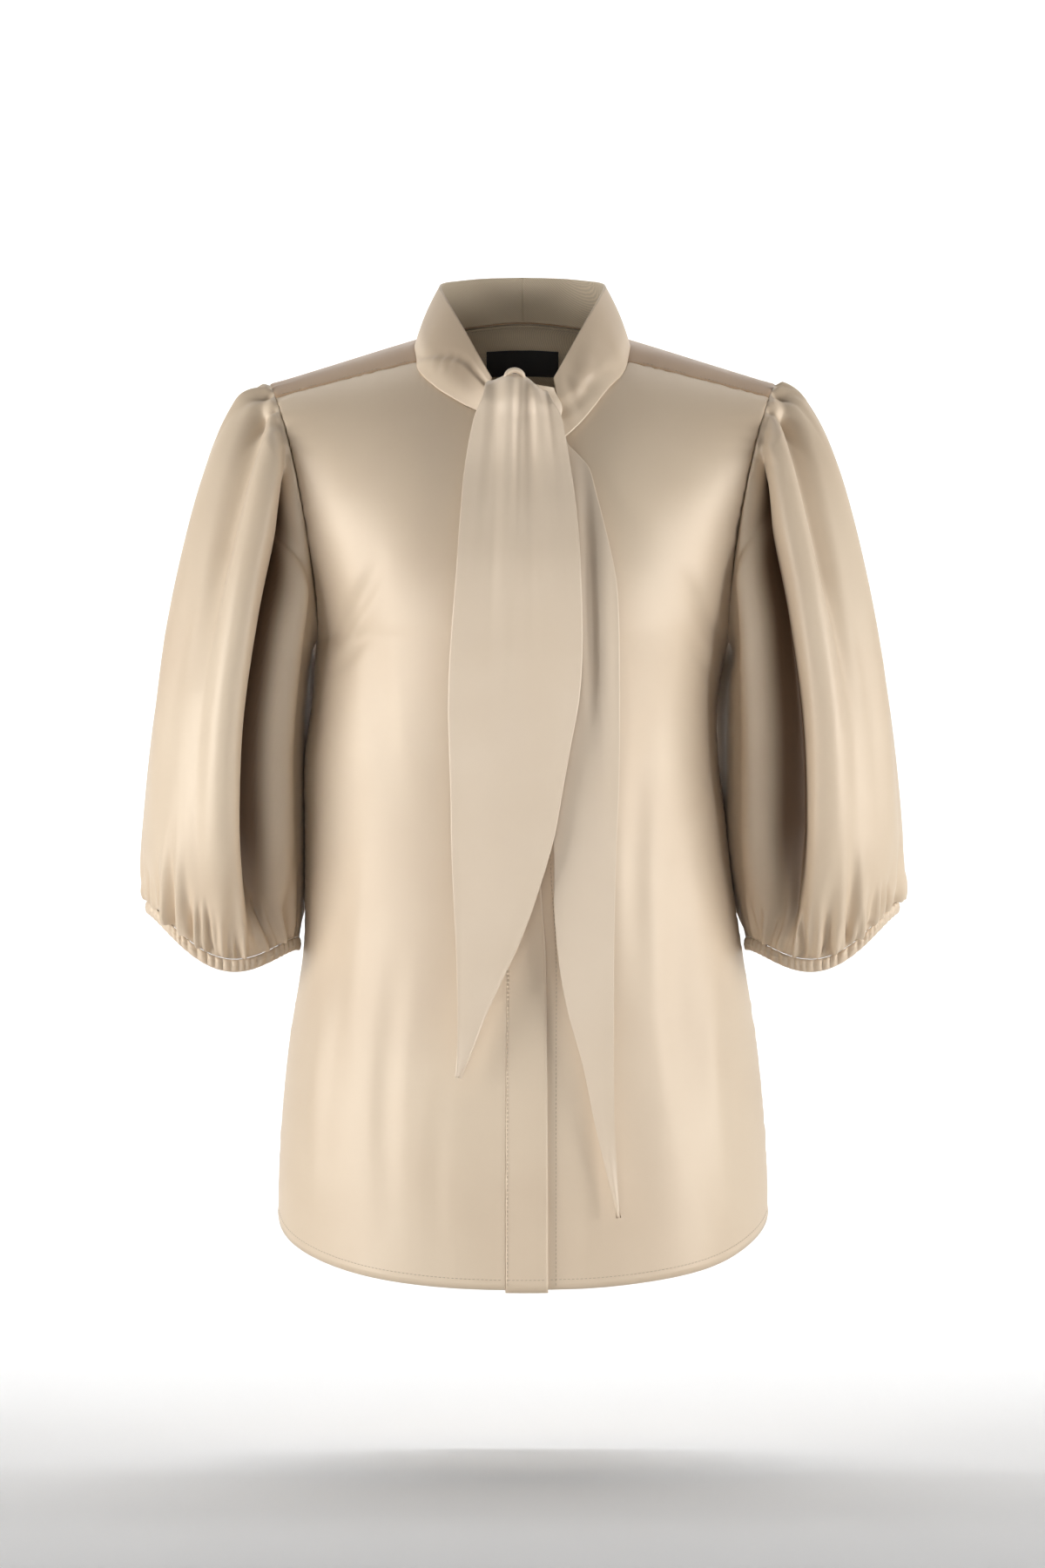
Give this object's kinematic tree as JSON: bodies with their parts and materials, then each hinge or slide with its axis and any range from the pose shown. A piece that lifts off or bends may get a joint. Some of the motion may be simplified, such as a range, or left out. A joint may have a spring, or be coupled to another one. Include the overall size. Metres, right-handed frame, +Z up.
{
  "type": "blouse",
  "caption": "Hollow worn-form satin blouse with a folded tie collar, gathered elbow sleeves with ruched cuffs and a concealed front closure.",
  "frame": {"origin": "midway between the two side neck points, where the yoke rests on the wearer's shoulders", "axes": "+X to the wearer's left, +Y to the back of the garment, +Z up; the front faces -Y"},
  "size_m": [0.5486, 0.2692, 0.723],
  "materials": {
    "satin": "satin",
    "satin_yoke": "satin",
    "satin_tie": "satin",
    "inner_cloth": "matte",
    "label_cloth": "matte"
  },
  "bodies": {
    "root": {"front_right": "satin", "front_left": "satin", "placket": "satin", "back": "satin", "yoke": "satin_yoke", "sleeve_right": "satin", "sleeve_left": "satin", "cuff_right": "satin", "cuff_left": "satin", "collar_right": "satin", "collar_left": "satin", "tie_knot": "satin_tie", "tie_over": "satin_tie", "tie_under": "satin_tie", "neck_facing": "inner_cloth", "label": "label_cloth"}
  },
  "joints": []
}
